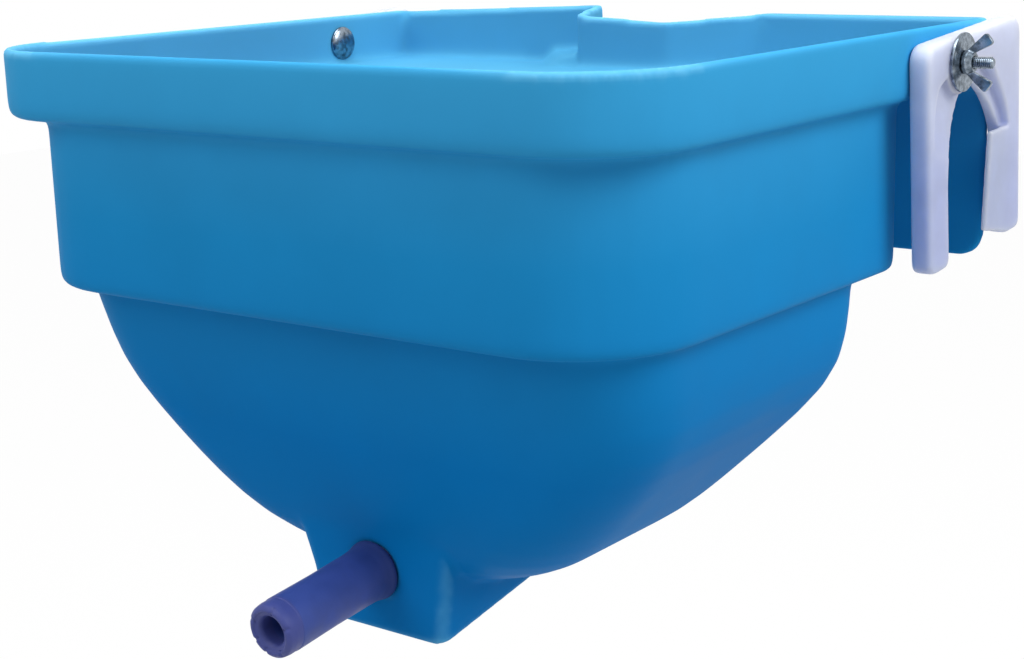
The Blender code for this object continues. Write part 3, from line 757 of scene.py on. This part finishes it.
def build_brackets():
    plastic = white_polyethylene()
    for label, side in SIDES:
        node = "hook_bracket_" + label
        item = node_copy(node, "bracket_" + label)
        unite(item, leg_lip(side))
        for vertex in item.data.vertices:
            vertex.co.y -= FRONT_LEG_GROWTH * (1.0 - step_between(*FRONT_LEG_EDGE, vertex.co.y / MM))
        apply_modifier(item, "REMESH", mode="VOXEL", voxel_size=looks().bracket.grid)
        smooth(item, BRACKET_ROUNDS)
        finish_piece(item, plastic, "bracket_" + label, node, MOULDED_ANGLE)


def shank(name):
    """The threaded shank, from the head's flat side at height 0 to the bolt's end."""
    hardware = looks().hardware
    outer = hardware.thread_radius
    root = outer - hardware.thread_depth
    pitch = hardware.pitch
    foot = root - THREAD_SINK
    crest_start, crest_end = (PLAIN_END + share * pitch for share in THREAD_CREST)
    ridge = closed_outline(name, (
        (foot, PLAIN_END), (outer, crest_start), (outer, crest_end), (foot, PLAIN_END + pitch),
    ))
    apply_modifier(
        ridge, "SCREW", axis="Z", angle=math.radians(360.0), screw_offset=pitch,
        iterations=round((BOLT_LENGTH - 2.0 * PLAIN_END) / pitch),
        steps=THREAD_SIDES, render_steps=THREAD_SIDES, use_merge_vertices=False,
    )
    edit(ridge)
    bpy.ops.mesh.remove_doubles(threshold=MERGE_DISTANCE)
    leave_edit()
    face_outwards(ridge)
    core = [
        (0.0, 0.0), (root, 0.0), (root, BOLT_LENGTH - 0.4 * MM),
        (root - 0.5 * MM, BOLT_LENGTH), (0.0, BOLT_LENGTH),
    ]
    return join([ridge, spun(name + "_core", rounded(core, CORE_EDGE, 2), CORE_SIDES)])


def mushroom_head(name):
    """A low dome with a turned rim; its flat side lies on the wall at height 0."""
    hardware = looks().hardware
    radius = hardware.head_radius
    height = hardware.head_height
    profile = [(0.0, -height)]
    for step in range(1, HEAD_STEPS):
        turn = math.radians(90.0 * step / HEAD_STEPS)
        profile.append((radius * math.sin(turn), -HEAD_RIM - (height - HEAD_RIM) * math.cos(turn)))
    profile += [(radius, -HEAD_RIM), (radius, -HEAD_BEVEL), (radius - HEAD_BEVEL, 0.0), (0.0, 0.0)]
    return spun(name, profile, HEAD_SIDES)


def build_bolts():
    zinc = bright_zinc("bright_zinc_bolt_plating")
    for label, side in SIDES:
        name = "threaded_bolt_" + label
        item = join([mushroom_head(name), shank(name + "_shank")])
        place(item, bolt_axis(label, side) @ Matrix.Translation((0.0, 0.0, -WALL - GAP)))
        finish_piece(item, zinc, "tub", "bolt_" + label, STEEL_ANGLE)


def build_washers():
    """Stamped washers with edges that are worn round."""
    zinc = bright_zinc("bright_zinc_washer_plating")
    for label, side in SIDES:
        node = "washer_" + label
        low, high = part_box(node)
        thickness = high.x - low.x
        outer = (high.y - low.y) / 2.0
        bore = looks().hardware.thread_radius + GAP
        profile = [(bore, 0.0), (outer, 0.0), (outer, thickness), (bore, thickness)]
        item = spun("penny_washer_" + label, rounded(profile, WASHER_EDGE, 3), WASHER_SIDES)
        near = low.x if side > 0.0 else high.x
        axis = bolt_axis(label, side)
        place(item, Matrix.Translation((near - axis.translation.x, 0.0, 0.0)) @ axis)
        finish_piece(item, zinc, "washer_" + label, node, STEEL_ANGLE)


def build_wing_nuts():
    zinc = bright_zinc("bright_zinc_nut_plating")
    for label, side in SIDES:
        node = "wing_nut_" + label
        item = node_copy(node, "wing_nut_cast_" + label)
        apply_modifier(item, "REMESH", mode="VOXEL", voxel_size=looks().hardware.nut_grid)
        smooth(item, WING_NUT_ROUNDS)
        finish_piece(item, zinc, node, node, MOULDED_ANGLE)


# Stage

def build_floor(stage):
    """The ground under the rail; it looks white to the camera and keeps a trace of the shadow."""
    bpy.ops.object.select_all(action="DESELECT")
    bpy.ops.mesh.primitive_plane_add(size=FLOOR_SIZE, location=(0.0, 0.0, -stage.rail_height))
    floor = bpy.context.object
    floor.name = "floor"
    material, tree, shader, _ = new_material("pale_matt_floor")
    fill_inputs(tree, shader, {"Base Color": opaque(linear_colour(FLOOR_GREY)), "Roughness": 0.9})
    rays = add_node(tree, "ShaderNodeLightPath").outputs
    seen = computed(tree, "MAXIMUM", rays["Is Camera Ray"], rays["Is Glossy Ray"])
    white = add_node(tree, "ShaderNodeEmission", {"Strength": FLOOR_GLOW}).outputs[0]
    both = add_node(tree, "ShaderNodeMixShader", {
        0: computed(tree, "MULTIPLY", seen, FLOOR_GLOW_SHARE), 1: shader.outputs["BSDF"], 2: white,
    })
    tree.links.new(both.outputs["Shader"], tree.nodes["Material Output"].inputs["Surface"])
    floor.data.materials.append(material)


def build_room(stage):
    """A room that looks white and gives more light from above than from below."""
    world = bpy.data.worlds.new("room")
    bpy.context.scene.world = world
    world.use_nodes = True
    tree = world.node_tree
    direction = add_node(tree, "ShaderNodeTexCoord").outputs["Generated"]
    upwards = add_node(tree, "ShaderNodeSeparateXYZ", {"Vector": direction}).outputs["Z"]
    shade = ramp(tree, share_between(tree, upwards, (-1.0, 1.0)), ((0.30, 0.12), (0.85, 1.0)))
    light = add_node(tree, "ShaderNodeBackground", {"Color": shade, "Strength": stage.fill_strength})
    white = add_node(tree, "ShaderNodeBackground", {"Color": opaque(linear_colour("ffffff"))})
    rays = add_node(tree, "ShaderNodeLightPath").outputs
    straight = computed(tree, "MAXIMUM", rays["Is Camera Ray"], rays["Is Transmission Ray"])
    seen = computed(tree, "MAXIMUM", straight, rays["Is Glossy Ray"])
    both = add_node(tree, "ShaderNodeMixShader", {0: seen, 1: light.outputs[0], 2: white.outputs[0]})
    tree.links.new(both.outputs["Shader"], tree.nodes["World Output"].inputs["Surface"])


def soft_lamp(name, place_at, size, power):
    bpy.ops.object.light_add(type="AREA", location=place_at)
    lamp = bpy.context.object
    lamp.name = name
    lamp.data.shape = "DISK"
    lamp.data.size = size
    lamp.data.energy = power
    lamp.rotation_euler = (Vector(LAMP_AIM) - Vector(place_at)).to_track_quat("-Z", "Y").to_euler()


def build_camera(stage):
    bpy.ops.object.camera_add(location=(0.0, 0.0, 0.0))
    camera = bpy.context.object
    camera.name = "photo_camera"
    camera.data.sensor_width = SENSOR_WIDTH
    camera.data.lens = stage.lens
    camera.data.clip_start = CLIP_START
    camera.matrix_world = (
        Matrix.Translation(stage.camera_place)
        @ Matrix.Rotation(stage.camera_heading, 4, "Z")
        @ Matrix.Rotation(math.radians(90.0) - stage.camera_drop, 4, "X")
        @ Matrix.Rotation(stage.camera_roll, 4, "Z")
    )
    bpy.context.scene.camera = camera


def build_stage():
    stage = looks().stage
    build_floor(stage)
    build_room(stage)
    for name, place_at, size, power in LAMPS:
        soft_lamp(name, place_at, size, getattr(stage, power))
    build_camera(stage)
    bpy.context.scene.view_settings.view_transform = "Standard"


class FEEDER_OT_tub(bpy.types.Operator):
    """Smooth the moulded tub and give it its plastic"""

    bl_idname = "feeder.tub"
    bl_label = "Tub"

    def execute(self, context):
        build_tub()
        return {"FINISHED"}


class FEEDER_OT_teat(bpy.types.Operator):
    """Spin the rubber teat"""

    bl_idname = "feeder.teat"
    bl_label = "Teat"

    def execute(self, context):
        build_teat()
        return {"FINISHED"}


class FEEDER_OT_brackets(bpy.types.Operator):
    """Round the two hook brackets"""

    bl_idname = "feeder.brackets"
    bl_label = "Hook brackets"

    def execute(self, context):
        build_brackets()
        return {"FINISHED"}


class FEEDER_OT_bolts(bpy.types.Operator):
    """Make the two bolts with their heads and threads"""

    bl_idname = "feeder.bolts"
    bl_label = "Bolts"

    def execute(self, context):
        build_bolts()
        return {"FINISHED"}


class FEEDER_OT_washers(bpy.types.Operator):
    """Make the two stamped washers"""

    bl_idname = "feeder.washers"
    bl_label = "Washers"

    def execute(self, context):
        build_washers()
        return {"FINISHED"}


class FEEDER_OT_wing_nuts(bpy.types.Operator):
    """Round the two cast wing nuts"""

    bl_idname = "feeder.wing_nuts"
    bl_label = "Wing nuts"

    def execute(self, context):
        build_wing_nuts()
        return {"FINISHED"}


class FEEDER_OT_stage(bpy.types.Operator):
    """Set up the floor, the room, the lamps and the camera"""

    bl_idname = "feeder.stage"
    bl_label = "Stage"

    def execute(self, context):
        build_stage()
        return {"FINISHED"}


OPERATORS = (
    FEEDER_OT_tub, FEEDER_OT_teat, FEEDER_OT_brackets, FEEDER_OT_bolts,
    FEEDER_OT_washers, FEEDER_OT_wing_nuts, FEEDER_OT_stage,
)


class FEEDER_PT_panel(bpy.types.Panel):
    bl_label = "Calf feeding bucket"
    bl_idname = "FEEDER_PT_panel"
    bl_space_type = "VIEW_3D"
    bl_region_type = "UI"
    bl_category = "Feeder"

    def draw(self, context):
        values = context.scene.feeder_looks
        for group in (values.tub, values.teat, values.bracket, values.hardware, values.stage):
            box = self.layout.box()
            for key in group.bl_rna.properties.keys():
                if key not in ("rna_type", "name"):
                    box.prop(group, key)
        for operator in OPERATORS:
            self.layout.operator(operator.bl_idname)


CLASSES = (
    TubLooks, BracketLooks, TeatLooks, HardwareLooks, StageLooks, FeederLooks, *OPERATORS, FEEDER_PT_panel,
)


def register():
    for item in CLASSES:
        bpy.utils.register_class(item)
    bpy.types.Scene.feeder_looks = bpy.props.PointerProperty(type=FeederLooks)


def unregister():
    del bpy.types.Scene.feeder_looks
    for item in reversed(CLASSES):
        bpy.utils.unregister_class(item)


def main():
    register()
    bpy.ops.feeder.tub()
    bpy.ops.feeder.teat()
    bpy.ops.feeder.brackets()
    bpy.ops.feeder.bolts()
    bpy.ops.feeder.washers()
    bpy.ops.feeder.wing_nuts()
    bpy.ops.feeder.stage()


if __name__ == "__main__":
    main()
